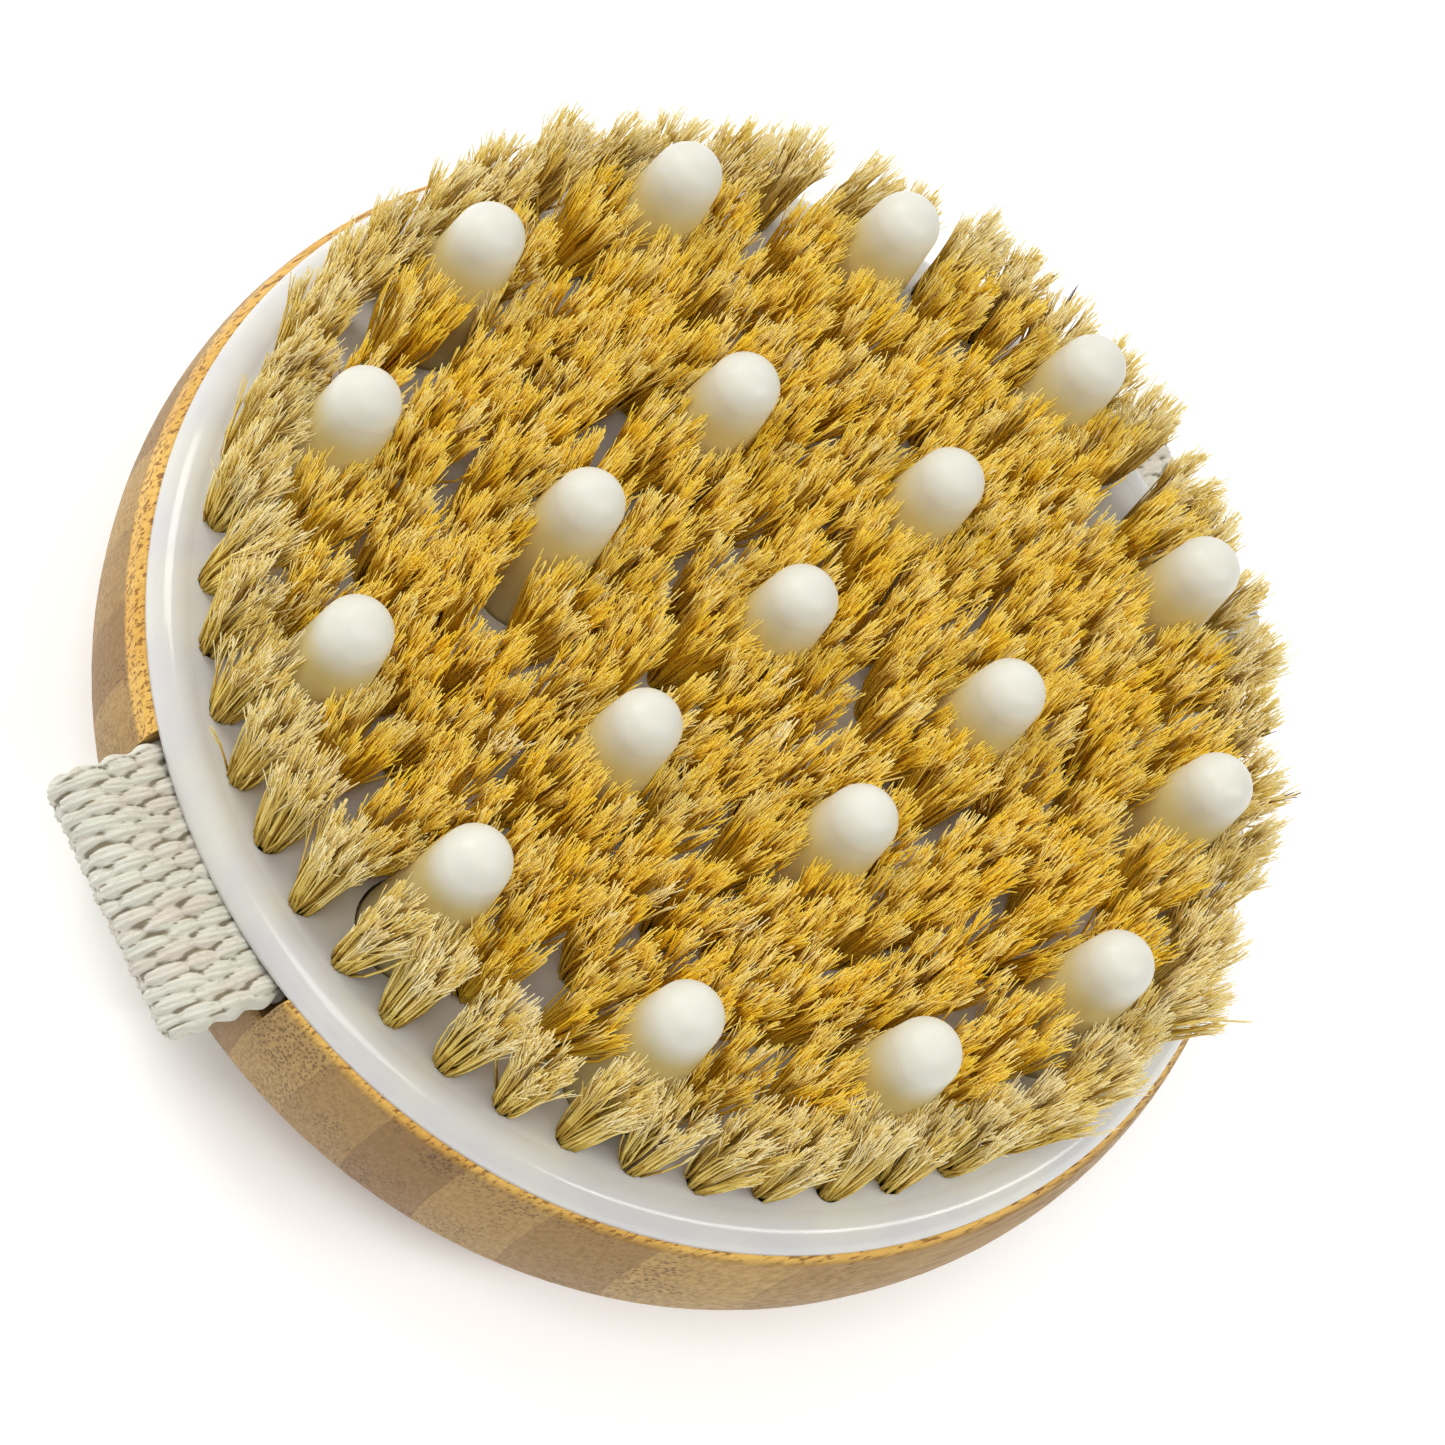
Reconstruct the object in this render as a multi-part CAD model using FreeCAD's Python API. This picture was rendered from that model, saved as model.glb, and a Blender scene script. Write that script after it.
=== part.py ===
"""Round body dry brush: a bamboo disc with a glued bristle plate, nineteen soft massage nodules,
rings of bristle tufts and a cotton hand strap.

Millimetres, +Z up. The brush lies on its back with the bristles up: the strap's outer face is
on z = 0, the disc's centre is on the Z axis and the strap runs along X.
"""
import FreeCAD
import Part
import math
import os

# ---- driving dimensions -------------------------------------------------------------------
BODY_R = 65.0            # bamboo disc, largest radius
BODY_T = 22.7            # bamboo disc, thickness
BODY_FRONT_R = 63.9      # radius where the side meets the front face
BODY_SIDE_LOW_R = 64.3   # radius where the side meets the round of the back
BODY_SIDE_DEPTH = 14.5   # depth of that line below the front face
BODY_BACK_R = 55.4       # radius of the flat back
BODY_BELLY_DEPTH = 7.4   # depth of the largest radius below the front face

STRAP_W = 29.0           # cotton webbing
STRAP_T = 3.0
STRAP_BULGE_X = 73.1     # how far out the strap's fold reaches
HAND_GAP = 6.0           # slack between the strap and the flat back

PLATE_R = 63.0           # moulded plate that holds bristles and nodules
PLATE_TOP = 2.7          # height of its flat top above the bamboo's front face
PLATE_BELOW = 3.0        # how far it reaches down into the bamboo
PLATE_EDGE = 0.5         # upright edge before the shoulder starts
PLATE_SHOULDER = 3.9     # width of the rounded shoulder
PLATE_FOOT_R = 58.7      # radius of its underside
PLATE_SEAT_R = 61.2      # radius where it starts to rest on the bamboo's front face

SEAT_R = 61.6            # step in the bamboo that takes the plate
SEAT_DEPTH = 3.2
WELL_R = 56.2            # deeper well under the nodules' flanges

TUFT_PITCH = 8.1         # radial distance between tuft rings
TUFT_HOLE_R = 1.5
TUFT_HOLE_DEPTH = 4.3
TUFT_ROOT_R = 1.45
TUFT_TIP_R = 3.3
TUFT_TIP_Z = 19.0        # bristle tips, above the bamboo's front face
TUFT_CROWN = 0.8         # rise of a tuft's cut top

ANCHOR_L, ANCHOR_W, ANCHOR_H = 2.7, 0.4, 1.5   # metal anchor that each tuft is folded over

NODULE_TIP_R = 3.75      # round tip of a nodule
NODULE_TOP_Z = 25.3      # its top, above the bamboo's front face
NODULE_DRAFT = math.radians(5.0)
NODULE_FLANGE_R = 6.4
NODULE_FLANGE_T = 1.6
NODULE_TRAVEL = 3.0      # how far a nodule gives when it is pressed
NODULE_CLEAR = 0.3       # gap round a nodule's stem in the plate
INNER_NODULE_R = 24.3
OUTER_NODULE_R = 49.2
NODULE_PHASE = 16.0      # degrees from +X to the first nodule

STAPLE_CROWN, STAPLE_LEG, STAPLE_WIRE = 9.0, 8.5, 0.5
STAPLE_X = 57.8
STAPLE_Y = 7.0

FIT = 0.05               # clearance between pieces that touch
SLIDE_FIT = 0.4          # room left below a nodule's flange at the end of its travel

# ---- sizes that follow ----------------------------------------------------------------------
BACK_Z = STRAP_T + HAND_GAP
FRONT_Z = BACK_Z + BODY_T
PLATE_TOP_Z = FRONT_Z + PLATE_TOP
PLATE_UNDER_Z = FRONT_Z - PLATE_BELOW
SEAT_Z = FRONT_Z - SEAT_DEPTH
WELL_Z = PLATE_UNDER_Z - FIT - NODULE_FLANGE_T - NODULE_TRAVEL - SLIDE_FIT
NODULE_STEM_R = NODULE_TIP_R / math.cos(NODULE_DRAFT) + (
    NODULE_TOP_Z - NODULE_TIP_R - PLATE_TOP) * math.tan(NODULE_DRAFT)

Z_AXIS = FreeCAD.Vector(0, 0, 1)
ORIGIN = FreeCAD.Vector(0, 0, 0)


def rz(radius, z):
    """A point of a section that is turned about the Z axis."""
    return FreeCAD.Vector(radius, 0, z)


def line(a, b):
    return Part.LineSegment(a, b).toShape()


def arc(a, middle, b):
    return Part.Arc(a, middle, b).toShape()


def turned(edges):
    """A solid of revolution from a closed loop of edges in the XZ plane."""
    face = Part.Face(Part.Wire(edges))
    return face.revolve(ORIGIN, Z_AXIS, 360)


def polar(radius, degrees, z=0.0):
    angle = math.radians(degrees)
    return FreeCAD.Vector(radius * math.cos(angle), radius * math.sin(angle), z)


def placed(shape, radius, degrees):
    """A copy of a template, turned to face away from the Z axis and moved out to its place."""
    copy = shape.copy()
    copy.rotate(ORIGIN, Z_AXIS, degrees)
    copy.translate(polar(radius, degrees))
    return copy


def save(name, *solids):
    shape = solids[0] if len(solids) == 1 else Part.makeCompound(list(solids))
    shape.exportStep("parts/" + name + ".step")


# ---- where the tufts and nodules stand ------------------------------------------------------
def evenly(count, first=0.0):
    return [first + 360.0 * i / count for i in range(count)]


def between_nodules(count, aside):
    """Two tufts in each gap of a ring of nodules, each the same angle from its nodule."""
    angles = []
    for nodule in evenly(count, NODULE_PHASE):
        angles.append(nodule + aside)
        angles.append(nodule + 360.0 / count - aside)
    return angles


def tuft_rings():
    """Radius and angles of each ring of tufts, from the middle outwards."""
    return [
        (TUFT_PITCH, evenly(6, NODULE_PHASE + 30.0)),
        (2 * TUFT_PITCH, evenly(14, NODULE_PHASE)),
        (INNER_NODULE_R, between_nodules(6, 20.0)),
        (4 * TUFT_PITCH, evenly(30, NODULE_PHASE + 6.0)),
        (5 * TUFT_PITCH, evenly(36, NODULE_PHASE)),
        (OUTER_NODULE_R, between_nodules(12, 10.0)),
        (7 * TUFT_PITCH + 0.1, evenly(50)),
    ]


def nodule_places():
    places = [(0.0, 0.0)]
    places += [(INNER_NODULE_R, angle) for angle in evenly(6, NODULE_PHASE)]
    places += [(OUTER_NODULE_R, angle) for angle in evenly(12, NODULE_PHASE)]
    return places


# ---- bamboo body ----------------------------------------------------------------------------
def notch():
    """The cut in the bamboo's rim that one end of the strap comes through, on the +X side."""
    outline = [
        (WELL_R - 3.0, SEAT_DEPTH + STRAP_T + 0.15),
        (59.9, SEAT_DEPTH + STRAP_T + 0.15),
        (62.6, 4.3),
        (BODY_R + 1.0, 7.2),
        (BODY_R + 1.0, -1.0),
        (WELL_R - 3.0, -1.0),
    ]
    half = STRAP_W / 2 + 0.7
    points = [FreeCAD.Vector(x, -half, FRONT_Z - depth) for x, depth in outline]
    face = Part.Face(Part.makePolygon(points + points[:1]))
    return face.extrude(FreeCAD.Vector(0, 2 * half, 0))


def bamboo_body():
    side_low_z = FRONT_Z - BODY_SIDE_DEPTH
    edge_round = 0.7
    outer = turned([
        line(rz(0, BACK_Z), rz(BODY_BACK_R, BACK_Z)),
        arc(rz(BODY_BACK_R, BACK_Z), rz(61.7, BACK_Z + 2.6), rz(BODY_SIDE_LOW_R, side_low_z)),
        arc(rz(BODY_SIDE_LOW_R, side_low_z), rz(BODY_R, FRONT_Z - BODY_BELLY_DEPTH),
            rz(BODY_FRONT_R, FRONT_Z - edge_round)),
        line(rz(BODY_FRONT_R, FRONT_Z - edge_round), rz(BODY_FRONT_R - edge_round, FRONT_Z)),
        line(rz(BODY_FRONT_R - edge_round, FRONT_Z), rz(0, FRONT_Z)),
        line(rz(0, FRONT_Z), rz(0, BACK_Z)),
    ])
    seat = Part.makeCylinder(SEAT_R, SEAT_DEPTH + 1, rz(0, SEAT_Z))
    well = Part.makeCylinder(WELL_R, SEAT_Z - WELL_Z + 1, rz(0, WELL_Z))
    body = outer.cut([seat, well])
    ends = [notch(), notch().mirror(ORIGIN, FreeCAD.Vector(1, 0, 0))]
    body = body.cut(ends)
    return body.cut([staple.copy() for staple in staples(+1) + staples(-1)])


# ---- bristle plate --------------------------------------------------------------------------
def bristle_plate():
    top_r = PLATE_R - PLATE_SHOULDER
    edge_z = FRONT_Z + PLATE_EDGE
    rise = PLATE_TOP - PLATE_EDGE
    diagonal = math.sqrt(0.5)
    shoulder_middle = rz(top_r + PLATE_SHOULDER * diagonal, edge_z + rise * diagonal)
    plate = turned([
        line(rz(0, PLATE_UNDER_Z), rz(PLATE_FOOT_R, PLATE_UNDER_Z)),
        line(rz(PLATE_FOOT_R, PLATE_UNDER_Z), rz(PLATE_SEAT_R, FRONT_Z)),
        line(rz(PLATE_SEAT_R, FRONT_Z), rz(PLATE_R, FRONT_Z)),
        line(rz(PLATE_R, FRONT_Z), rz(PLATE_R, edge_z)),
        arc(rz(PLATE_R, edge_z), shoulder_middle, rz(top_r, PLATE_TOP_Z)),
        line(rz(top_r, PLATE_TOP_Z), rz(0, PLATE_TOP_Z)),
        line(rz(0, PLATE_TOP_Z), rz(0, PLATE_UNDER_Z)),
    ])
    through = PLATE_TOP + PLATE_BELOW + 2
    hole_r = NODULE_STEM_R + NODULE_CLEAR
    cuts = [Part.makeCylinder(hole_r, through, polar(radius, angle, PLATE_UNDER_Z - 1))
            for radius, angle in nodule_places()]
    floor_z = PLATE_TOP_Z - TUFT_HOLE_DEPTH
    cuts += [Part.makeCylinder(TUFT_HOLE_R, TUFT_HOLE_DEPTH + 1, polar(radius, angle, floor_z))
             for radius, angles in tuft_rings() for angle in angles]
    return plate.cut(cuts)


# ---- nodules --------------------------------------------------------------------------------
def nodule():
    """A soft plug: round tip, drafted shaft, straight stem in the plate and a flange below it."""
    tip_z = FRONT_Z + NODULE_TOP_Z - NODULE_TIP_R
    top = rz(0, tip_z + NODULE_TIP_R)
    sine, cosine = math.sin(NODULE_DRAFT), math.cos(NODULE_DRAFT)
    shaft_top = rz(NODULE_TIP_R * cosine, tip_z + NODULE_TIP_R * sine)
    shaft_foot = rz(NODULE_STEM_R, PLATE_TOP_Z)
    middle_angle = (math.pi / 2 + NODULE_DRAFT) / 2
    tip_middle = rz(NODULE_TIP_R * math.cos(middle_angle), tip_z + NODULE_TIP_R * math.sin(middle_angle))
    flange_z = PLATE_UNDER_Z - FIT
    foot_z = flange_z - NODULE_FLANGE_T
    return turned([
        line(rz(0, foot_z), rz(NODULE_FLANGE_R, foot_z)),
        line(rz(NODULE_FLANGE_R, foot_z), rz(NODULE_FLANGE_R, flange_z)),
        line(rz(NODULE_FLANGE_R, flange_z), rz(NODULE_STEM_R, flange_z)),
        line(rz(NODULE_STEM_R, flange_z), shaft_foot),
        line(shaft_foot, shaft_top),
        arc(shaft_top, tip_middle, top),
        line(top, rz(0, foot_z)),
    ])


# ---- tufts and their anchors ----------------------------------------------------------------
def anchor():
    """The flat metal staple at the bottom of a tuft hole."""
    floor_z = PLATE_TOP_Z - TUFT_HOLE_DEPTH
    corner = FreeCAD.Vector(-ANCHOR_W / 2, -ANCHOR_L / 2, floor_z)
    return Part.makeBox(ANCHOR_W, ANCHOR_L, ANCHOR_H, corner)


def tuft():
    """One tuft: a root that is folded over the anchor, and bristles that spread to a cut top."""
    root_z = PLATE_TOP_Z - TUFT_HOLE_DEPTH
    tip_z = FRONT_Z + TUFT_TIP_Z
    side_z = tip_z - TUFT_CROWN
    dome_r = (TUFT_TIP_R ** 2 + TUFT_CROWN ** 2) / (2 * TUFT_CROWN)
    half_angle = math.asin(TUFT_TIP_R / dome_r) / 2
    dome_middle = rz(dome_r * math.sin(half_angle), tip_z - dome_r * (1 - math.cos(half_angle)))
    bundle = turned([
        line(rz(0, root_z), rz(TUFT_ROOT_R, root_z)),
        line(rz(TUFT_ROOT_R, root_z), rz(TUFT_ROOT_R, PLATE_TOP_Z)),
        line(rz(TUFT_ROOT_R, PLATE_TOP_Z), rz(TUFT_TIP_R, side_z)),
        arc(rz(TUFT_TIP_R, side_z), dome_middle, rz(0, tip_z)),
        line(rz(0, tip_z), rz(0, root_z)),
    ])
    grown = Part.makeBox(ANCHOR_W + FIT, ANCHOR_L + 2 * TUFT_HOLE_R, ANCHOR_H + 1 + FIT,
                         FreeCAD.Vector(-(ANCHOR_W + FIT) / 2, -ANCHOR_L / 2 - TUFT_HOLE_R, root_z - 1))
    return bundle.cut(grown)


# ---- glue -----------------------------------------------------------------------------------
def glue_bead():
    """The bead in the corner below the plate's edge, broken where the strap comes through."""
    ring = turned([
        line(rz(59.0, SEAT_Z), rz(SEAT_R, SEAT_Z)),
        line(rz(SEAT_R, SEAT_Z), rz(SEAT_R, FRONT_Z - 1.0)),
        line(rz(SEAT_R, FRONT_Z - 1.0), rz(60.5, FRONT_Z - 1.0)),
        line(rz(60.5, FRONT_Z - 1.0), rz(59.0, SEAT_Z)),
    ])
    half = STRAP_W / 2 + 1.6
    gap = Part.makeBox(4 * BODY_R, 2 * half, 4 * SEAT_DEPTH,
                       FreeCAD.Vector(-2 * BODY_R, -half, SEAT_Z - SEAT_DEPTH))
    return ring.cut(gap)


# ---- strap and its staples --------------------------------------------------------------------
def strap_route():
    """Corners of the strap's middle line as (x, z, bend radius), from the +X end to the centre."""
    tail_z = PLATE_UNDER_Z - 0.1 - STRAP_T / 2
    floor_z = STRAP_T / 2
    return [
        (WELL_R + 0.3, tail_z, 0),
        (59.5, tail_z, 2.0),
        (62.7, FRONT_Z - 0.2 - STRAP_T / 2, 2.2),
        (STRAP_BULGE_X, FRONT_Z - 0.2 - STRAP_T / 2, 2.0),
        (67.0, 21.0, 6.0),
        (66.0, 14.0, 6.0),
        (60.7, 6.9, 6.0),
        (50.0, floor_z, 12.0),
        (0, floor_z, 0),
    ]


def strap_corners():
    """Each corner of the middle line as (start, middle and end of its arc, centre, radius, turn)."""
    half = strap_route()
    route = half[:-1] + [(-x, z, radius) for x, z, radius in reversed(half[:-1])]
    points = [FreeCAD.Vector(x, 0, z) for x, z, _ in route]
    corners = []
    for before, point, after, (_, _, radius) in zip(points, points[1:], points[2:], route[1:]):
        came = (point - before).normalize()
        goes = (after - point).normalize()
        half_angle = math.acos(came.dot(goes)) / 2
        first = point - came * (radius * math.tan(half_angle))
        last = point + goes * (radius * math.tan(half_angle))
        centre = point + (goes - came).normalize() * (radius / math.cos(half_angle))
        middle = centre + (point - centre).normalize() * radius
        turn = math.copysign(1, came.x * goes.z - came.z * goes.x)
        corners.append((first, middle, last, centre, radius, turn))
    return points[0], corners, points[-1]


def webbing_face(side):
    """One face of the webbing, half a thickness to a side of the middle line, as edges in order."""
    begin, corners, finish = strap_corners()
    start = begin + FreeCAD.Vector(0, 0, side * STRAP_T / 2)
    end = finish + FreeCAD.Vector(0, 0, side * STRAP_T / 2)
    edges = []
    for first, middle, last, centre, radius, turn in corners:
        scale = (radius - side * turn * STRAP_T / 2) / radius
        first, middle, last = [centre + (point - centre) * scale for point in (first, middle, last)]
        edges.append(line(start, first))
        edges.append(arc(first, middle, last))
        start = last
    edges.append(line(start, end))
    return edges


def hand_strap():
    over = webbing_face(+1)
    under = webbing_face(-1)
    near = line(under[0].Vertexes[0].Point, over[0].Vertexes[0].Point)
    far = line(over[-1].Vertexes[-1].Point, under[-1].Vertexes[-1].Point)
    face = Part.Face(Part.Wire(over + [far] + under[::-1] + [near]))
    strap = face.extrude(FreeCAD.Vector(0, STRAP_W, 0))
    strap.translate(FreeCAD.Vector(0, -STRAP_W / 2, 0))
    room = [staple_solid(x_side * STAPLE_X, y_side * STAPLE_Y, FIT)
            for x_side in (-1, 1) for y_side in (-1, 1)]
    return strap.cut(room)


def staple_solid(x, y, grow=0.0):
    """A wire staple with its crown let into the webbing and its legs in the bamboo."""
    top_z = PLATE_UNDER_Z - 0.1
    wire = STAPLE_WIRE + 2 * grow
    low_z = top_z - STAPLE_LEG - grow
    crown = Part.makeBox(wire, STAPLE_CROWN + 2 * grow, wire,
                         FreeCAD.Vector(x - wire / 2, y - STAPLE_CROWN / 2 - grow, top_z - wire + grow))
    legs = []
    for side in (-1, 1):
        leg_y = y + side * (STAPLE_CROWN / 2 - STAPLE_WIRE / 2) - wire / 2
        legs.append(Part.makeBox(wire, wire, top_z - low_z, FreeCAD.Vector(x - wire / 2, leg_y, low_z)))
    return crown.fuse(legs).removeSplitter()


def staples(x_side):
    return [staple_solid(x_side * STAPLE_X, y_side * STAPLE_Y) for y_side in (-1, 1)]


# ---- write one file for each piece ------------------------------------------------------------
def main():
    os.makedirs("parts", exist_ok=True)
    save("bamboo_body", bamboo_body())
    save("bristle_plate", bristle_plate())
    save("glue_bead", *glue_bead().Solids)
    save("hand_strap", hand_strap())
    save("strap_staples_left", *staples(-1))
    save("strap_staples_right", *staples(+1))

    one_tuft = tuft()
    one_anchor = anchor()
    for number, (radius, angles) in enumerate(tuft_rings(), start=1):
        save(f"tuft_ring_{number}", *[placed(one_tuft, radius, angle) for angle in angles])
        save(f"anchor_ring_{number}", *[placed(one_anchor, radius, angle) for angle in angles])

    one_nodule = nodule()
    for number, (radius, angle) in enumerate(nodule_places(), start=1):
        save(f"nodule_{number:02d}", placed(one_nodule, radius, angle))


main()
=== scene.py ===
"""The looks of the round body dry brush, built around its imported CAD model. Metres, row frame."""

import math

import bpy
import numpy as np
from mathutils import Matrix, Vector


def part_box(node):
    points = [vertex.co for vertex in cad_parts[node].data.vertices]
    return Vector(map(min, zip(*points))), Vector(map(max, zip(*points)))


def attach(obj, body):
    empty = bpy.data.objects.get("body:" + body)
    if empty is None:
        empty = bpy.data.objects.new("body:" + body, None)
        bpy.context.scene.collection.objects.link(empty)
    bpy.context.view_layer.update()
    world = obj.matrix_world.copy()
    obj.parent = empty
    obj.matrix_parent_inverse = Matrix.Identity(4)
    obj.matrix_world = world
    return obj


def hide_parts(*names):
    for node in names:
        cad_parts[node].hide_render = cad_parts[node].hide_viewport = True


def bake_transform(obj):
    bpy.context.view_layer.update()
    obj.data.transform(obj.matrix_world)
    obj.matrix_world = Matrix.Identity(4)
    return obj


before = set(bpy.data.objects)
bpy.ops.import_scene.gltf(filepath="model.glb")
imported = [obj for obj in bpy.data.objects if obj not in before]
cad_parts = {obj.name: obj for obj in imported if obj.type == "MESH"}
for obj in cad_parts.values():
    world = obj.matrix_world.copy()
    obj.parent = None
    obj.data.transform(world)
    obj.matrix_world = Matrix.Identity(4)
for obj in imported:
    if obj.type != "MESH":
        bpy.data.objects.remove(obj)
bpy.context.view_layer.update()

MM = 0.001
FRONT_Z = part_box("bamboo_body")[1].z          # front face of the bamboo disc
PLATE_TOP_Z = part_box("bristle_plate")[1].z    # flat top of the bristle plate
TUFT_TOP_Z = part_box("tuft_ring_1")[1].z       # cut ends of the bristles
DISC_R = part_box("bamboo_body")[1].x
TUFT_RINGS = sorted(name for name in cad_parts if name.startswith("tuft_ring"))
NODULES = sorted(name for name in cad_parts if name.startswith("nodule"))


# ---- camera -------------------------------------------------------------------------------------
CAMERA_AIM = Vector((-1.8 * MM, -4.1 * MM, FRONT_Z))
CAMERA_AZIMUTH = math.radians(-69.35)
CAMERA_ELEVATION = math.radians(56.4)
CAMERA_ROLL = math.radians(45.4)
CAMERA_DISTANCE = 0.4639
CAMERA_LENS = 109.2


def camera_axes():
    """The picture's right, its up, and the direction from the object to the camera."""
    a, e = CAMERA_AZIMUTH, CAMERA_ELEVATION
    back = Vector((math.sin(a) * math.cos(e), -math.cos(a) * math.cos(e), math.sin(e)))
    level = Vector((math.cos(a), math.sin(a), 0))
    upright = back.cross(level)
    right = level * math.cos(CAMERA_ROLL) + upright * math.sin(CAMERA_ROLL)
    up = upright * math.cos(CAMERA_ROLL) - level * math.sin(CAMERA_ROLL)
    return right, up, back


def make_camera():
    data = bpy.data.cameras.new("camera")
    data.lens = CAMERA_LENS
    data.sensor_width = 36.0
    data.clip_start = 0.01
    camera = bpy.data.objects.new("camera", data)
    bpy.context.scene.collection.objects.link(camera)
    right, up, back = camera_axes()
    turn = Matrix((right, up, back)).transposed().to_4x4()
    camera.matrix_world = Matrix.Translation(CAMERA_AIM + back * CAMERA_DISTANCE) @ turn
    bpy.context.scene.camera = camera


# ---- lights -------------------------------------------------------------------------------------
WORLD_LEFTWARD = 0.4        # the surround's bright side lies this much left for each 1 up
WORLD_FADE = 0.7            # cosine of the angle from there at which the surround is brightest;
                            # it is black at the negative of this
WORLD_STRENGTH = 0.90       # of the surround where it is brightest


def area_light(name, across, above, towards, size, watts, tint=(1.0, 1.0, 1.0)):
    """A softbox placed by the picture's right, up and depth directions, aimed at the brush."""
    right, up, back = camera_axes()
    data = bpy.data.lights.new(name, "AREA")
    data.shape = "RECTANGLE"
    data.size, data.size_y = size
    data.energy = watts
    data.color = tint
    light = bpy.data.objects.new(name, data)
    bpy.context.scene.collection.objects.link(light)
    place = CAMERA_AIM + right * across + up * above + back * towards
    away = (place - CAMERA_AIM).normalized()
    side = up.cross(away).normalized()
    turn = Matrix((side, away.cross(side), away)).transposed().to_4x4()
    light.matrix_world = Matrix.Translation(place) @ turn


def make_lights():
    area_light("key_light", -0.30, 0.90, 0.60, (0.42, 0.42), 3.9, tint=(1.0, 0.99, 0.97))
    area_light("front_fill", 0.06, 0.16, 1.00, (0.34, 0.34), 2.1)
    area_light("right_strip", 0.76, -0.20, 0.60, (1.1, 0.14), 5.2)


def make_world():
    """A white surround that fades from the picture's upper left, to black at its lower right."""
    world = bpy.data.worlds.new("studio")
    world.use_nodes = True
    tree = world.node_tree
    background = tree.nodes["Background"]
    background.inputs["Color"].default_value = (1.0, 1.0, 1.0, 1.0)
    facing = tree.nodes.new("ShaderNodeTexCoord")
    height = tree.nodes.new("ShaderNodeVectorMath")
    height.operation = "DOT_PRODUCT"
    right, up, _ = camera_axes()
    height.inputs[1].default_value = (up - WORLD_LEFTWARD * right).normalized()
    tree.links.new(facing.outputs["Generated"], height.inputs[0])
    fade = tree.nodes.new("ShaderNodeMapRange")
    fade.inputs["From Min"].default_value = -WORLD_FADE
    fade.inputs["From Max"].default_value = WORLD_FADE
    fade.inputs["To Min"].default_value = 0.0
    fade.inputs["To Max"].default_value = WORLD_STRENGTH
    tree.links.new(height.outputs["Value"], fade.inputs["Value"])
    tree.links.new(fade.outputs["Result"], background.inputs["Strength"])
    bpy.context.scene.world = world


# ---- node helpers -------------------------------------------------------------------------------
def srgb(red, green, blue):
    """A colour given as 0 to 255 screen values, as the linear colour that a shader takes."""
    def linear(value):
        value = value / 255
        return value / 12.92 if value <= 0.04045 else ((value + 0.055) / 1.055) ** 2.4
    return (linear(red), linear(green), linear(blue), 1.0)


class Nodes:
    """A new material's node tree, with short ways to add nodes and join them."""

    def __init__(self, name):
        self.material = bpy.data.materials.new(name)
        self.material.use_nodes = True
        self.tree = self.material.node_tree
        self.shader = self.tree.nodes["Principled BSDF"]

    def set(self, **values):
        """Plain values on the shader's own sockets, named in lower case with underscores."""
        for label, value in values.items():
            socket = label.replace("_", " ").title().replace("Ior", "IOR")
            self.shader.inputs[socket].default_value = value

    def join(self, source, target):
        self.tree.links.new(source, target)

    def add(self, kind, **settings):
        node = self.tree.nodes.new("ShaderNode" + kind)
        for label, value in settings.items():
            setattr(node, label, value)
        return node

    def feed(self, target, value):
        """Joins a socket to a target socket, or sets the target to a plain value."""
        if isinstance(value, bpy.types.NodeSocket):
            self.join(value, target)
        else:
            target.default_value = value

    def math(self, operation, first, second=0.0, third=None, clamp=False):
        node = self.add("Math", operation=operation, use_clamp=clamp)
        self.feed(node.inputs[0], first)
        self.feed(node.inputs[1], second)
        if third is not None:
            self.feed(node.inputs[2], third)
        return node.outputs[0]

    def mix(self, factor, first, second, blend="MIX"):
        node = self.add("Mix", data_type="RGBA", blend_type=blend)
        self.feed(node.inputs[0], factor)
        self.feed(node.inputs[6], first)
        self.feed(node.inputs[7], second)
        return node.outputs[2]

    def ramp(self, factor, low, high, to_low=0.0, to_high=1.0):
        """factor's stretch from low to high, eased onto to_low to to_high."""
        node = self.add("MapRange", interpolation_type="SMOOTHSTEP")
        self.feed(node.inputs["Value"], factor)
        self.feed(node.inputs["From Min"], low)
        self.feed(node.inputs["From Max"], high)
        self.feed(node.inputs["To Min"], to_low)
        self.feed(node.inputs["To Max"], to_high)
        return node.outputs["Result"]

    def place(self):
        """The point on the object in the row frame, in metres."""
        return self.add("TexCoord").outputs["Object"]

    def split(self, vector):
        node = self.add("SeparateXYZ")
        self.join(vector, node.inputs[0])
        return node.outputs

    def stretched(self, vector, x, y, z):
        node = self.add("Mapping")
        self.join(vector, node.inputs["Vector"])
        node.inputs["Scale"].default_value = (x, y, z)
        return node.outputs[0]

    def noise(self, vector, scale, detail=3.0, roughness=0.55):
        node = self.add("TexNoise")
        self.join(vector, node.inputs["Vector"])
        node.inputs["Scale"].default_value = scale
        node.inputs["Detail"].default_value = detail
        node.inputs["Roughness"].default_value = roughness
        return node.outputs["Fac"]

    def bump(self, height, strength, distance, under=None):
        node = self.add("Bump")
        node.inputs["Strength"].default_value = strength
        node.inputs["Distance"].default_value = distance
        self.join(height, node.inputs["Height"])
        if under is not None:
            self.join(under, node.inputs["Normal"])
        return node.outputs["Normal"]


# ---- materials ----------------------------------------------------------------------------------
STRIP_W = 7.5 * MM        # width of the bamboo strips, which stand on edge with their grain along X


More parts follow.
